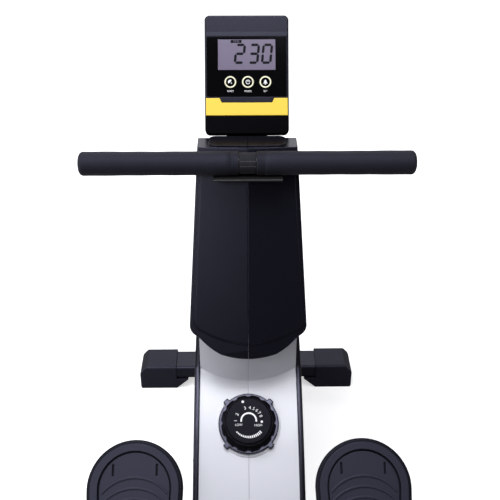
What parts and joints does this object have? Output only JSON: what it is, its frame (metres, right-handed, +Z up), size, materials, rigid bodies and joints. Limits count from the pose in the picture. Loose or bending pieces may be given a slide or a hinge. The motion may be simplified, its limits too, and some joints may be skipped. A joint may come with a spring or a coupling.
{
  "type": "rowing machine",
  "caption": "Foldable magnetic rowing machine with a sliding seat on a rail, pivoting foot plates, strap-pull handle, tension knob and a tilted console on a hooded mast.",
  "frame": {"origin": "on the floor, in the middle of the machine's length and width", "axes": "X to the rower's right, Y from the seat towards the flywheel, Z up"},
  "size_m": [0.46, 1.89, 0.7905],
  "materials": {
    "frame_black": "satin black powder coat",
    "black_plastic": "fine-textured black moulding",
    "hood_black": "satin blue-black moulding",
    "silver_plastic": "silver-white paint",
    "yellow_plastic": "yellow satin trim",
    "black_glass": "polished black window",
    "lcd": "grey liquid-crystal panel",
    "button": "black with a cream ring",
    "circuit": "green board",
    "foam": "black foam grip",
    "rubber": "black rubber",
    "webbing": "black woven webbing",
    "vinyl": "black seat covering",
    "steel": "zinc-plated steel",
    "aluminium": "anodised extrusion",
    "iron": "painted cast iron",
    "grey_plastic": "dark grey moulding"
  },
  "bodies": {
    "frame": {"front_stabiliser": "frame_black", "front_foot_left": "black_plastic", "front_foot_right": "black_plastic", "base_beam": "frame_black", "hinge_cheeks": "frame_black", "axle_plates": "frame_black", "mast": "frame_black", "middle_foot": "black_plastic", "fold_pin": "steel", "shell_left": "silver_plastic", "shell_right": "silver_plastic", "side_cover_left": "black_plastic", "side_cover_right": "black_plastic", "hood_left": "hood_black", "hood_right": "hood_black", "handle_cradle": "black_plastic", "console_bracket": "frame_black", "console_case": "hood_black", "console_back": "black_plastic", "console_window": "black_glass", "lcd_panel": "lcd", "console_trim": "yellow_plastic", "circuit_board": "circuit", "spool_axle": "steel", "drive_belt": "rubber", "pedal_axle": "steel", "strap_run": "webbing", "brake_cable": "rubber", "knob_base": "grey_plastic"},
    "rail": {"rail": "aluminium", "rear_leg": "frame_black", "rear_foot_left": "black_plastic", "rear_foot_right": "black_plastic", "rail_stops": "rubber"},
    "seat": {"seat_carriage": "frame_black", "seat_pad": "vinyl", "roller_bolts": "steel"},
    "upper_roller_front": {"upper_roller_front": "grey_plastic"},
    "upper_roller_rear": {"upper_roller_rear": "grey_plastic"},
    "lower_rollers": {"lower_rollers": "grey_plastic"},
    "pedal_left": {"pedal_left": "black_plastic", "foot_strap_left": "webbing"},
    "pedal_right": {"pedal_right": "black_plastic", "foot_strap_right": "webbing"},
    "handle": {"handle_bar": "steel", "grip_left": "foam", "grip_right": "foam", "pull_strap": "webbing"},
    "strap_spool": {"strap_spool": "grey_plastic"},
    "guide_roller": {"guide_roller": "grey_plastic"},
    "flywheel": {"flywheel": "iron"},
    "drive_pulley": {"drive_pulley": "grey_plastic"},
    "tension_knob": {"tension_knob": "hood_black"},
    "magnet_bracket": {"magnet_bracket": "steel"},
    "button_left": {"button_left": "button"},
    "button_middle": {"button_middle": "button"},
    "button_right": {"button_right": "button"},
    "transport_wheel_left": {"transport_wheel_left": "grey_plastic"},
    "transport_wheel_right": {"transport_wheel_right": "grey_plastic"},
    "fold_knob": {"fold_knob": "black_plastic"}
  },
  "joints": [
    {"name": "rail_fold", "type": "hinge", "parent": "frame", "child": "rail", "pos_m": [0, 0.267, 0.217], "axis": [1, 0, 0], "range_deg": [-80, 0]},
    {"name": "seat_slide", "type": "slide", "parent": "rail", "child": "seat", "axis": [0, 1, 0], "range_m": [-0.43, 0.43]},
    {"name": "upper_roller_front_spin", "type": "hinge", "parent": "seat", "child": "upper_roller_front", "pos_m": [0, -0.2765, 0.2734], "axis": [1, 0, 0], "continuous": true},
    {"name": "upper_roller_rear_spin", "type": "hinge", "parent": "seat", "child": "upper_roller_rear", "pos_m": [0, -0.3965, 0.2734], "axis": [1, 0, 0], "continuous": true},
    {"name": "lower_rollers_spin", "type": "hinge", "parent": "seat", "child": "lower_rollers", "pos_m": [0, -0.3365, 0.2356], "axis": [1, 0, 0], "continuous": true},
    {"name": "pedal_left_tilt", "type": "hinge", "parent": "frame", "child": "pedal_left", "pos_m": [-0.157, 0.33, 0.17], "axis": [1, 0, 0], "range_deg": [-35, 0]},
    {"name": "pedal_right_tilt", "type": "hinge", "parent": "frame", "child": "pedal_right", "pos_m": [0.157, 0.33, 0.17], "axis": [1, 0, 0], "range_deg": [-35, 0]},
    {"name": "handle_pull", "type": "slide", "parent": "frame", "child": "handle", "axis": [0, -0.9903, 0.1392], "range_m": [0, 0.95], "stiffness_N_per_m": 6, "deforming": ["pull_strap"]},
    {"name": "strap_spool_turn", "type": "hinge", "parent": "frame", "child": "strap_spool", "pos_m": [0, 0.56, 0.205], "axis": [1, 0, 0], "continuous": true},
    {"name": "guide_roller_turn", "type": "hinge", "parent": "frame", "child": "guide_roller", "pos_m": [0, 0.63766, 0.60969], "axis": [1, 0, 0], "continuous": true},
    {"name": "flywheel_spin", "type": "hinge", "parent": "frame", "child": "flywheel", "pos_m": [0, 0.705, 0.225], "axis": [1, 0, 0], "continuous": true},
    {"name": "drive_pulley_spin", "type": "hinge", "parent": "frame", "child": "drive_pulley", "pos_m": [0, 0.56, 0.205], "axis": [1, 0, 0], "continuous": true},
    {"name": "tension_knob_turn", "type": "hinge", "parent": "frame", "child": "tension_knob", "pos_m": [0, 0.472, 0.266], "axis": [0, 0.588, -0.8088], "range_deg": [0, 270]},
    {"name": "magnet_swing", "type": "hinge", "parent": "frame", "child": "magnet_bracket", "pos_m": [0, 0.80497, 0.14112], "axis": [1, 0, 0], "range_deg": [0, 2.2]},
    {"name": "button_left_press", "type": "slide", "parent": "frame", "child": "button_left", "axis": [0, 0.866, -0.5], "range_m": [0, 0.001], "stiffness_N_per_m": 400},
    {"name": "button_middle_press", "type": "slide", "parent": "frame", "child": "button_middle", "axis": [0, 0.866, -0.5], "range_m": [0, 0.001], "stiffness_N_per_m": 400},
    {"name": "button_right_press", "type": "slide", "parent": "frame", "child": "button_right", "axis": [0, 0.866, -0.5], "range_m": [0, 0.001], "stiffness_N_per_m": 400},
    {"name": "transport_wheel_left_spin", "type": "hinge", "parent": "frame", "child": "transport_wheel_left", "pos_m": [-0.1845, 0.9225, 0.025], "axis": [1, 0, 0], "continuous": true},
    {"name": "transport_wheel_right_spin", "type": "hinge", "parent": "frame", "child": "transport_wheel_right", "pos_m": [0.1845, 0.9225, 0.025], "axis": [1, 0, 0], "continuous": true},
    {"name": "fold_knob_turn", "type": "hinge", "parent": "frame", "child": "fold_knob", "pos_m": [0, 0.241, 0.217], "axis": [1, 0, 0], "range_deg": [0, 360]}
  ],
  "couplings": [
    {"joint": "upper_roller_front_spin", "follows": "seat_slide", "rad_per_m": -55.556},
    {"joint": "upper_roller_rear_spin", "follows": "seat_slide", "rad_per_m": -55.556},
    {"joint": "lower_rollers_spin", "follows": "seat_slide", "rad_per_m": 100},
    {"joint": "strap_spool_turn", "follows": "handle_pull", "rad_per_m": 32.051},
    {"joint": "guide_roller_turn", "follows": "handle_pull", "rad_per_m": 75.758},
    {"joint": "drive_pulley_spin", "follows": "flywheel_spin", "ratio": 0.225},
    {"joint": "magnet_swing", "follows": "tension_knob_turn", "ratio": 0.0081481}
  ]
}
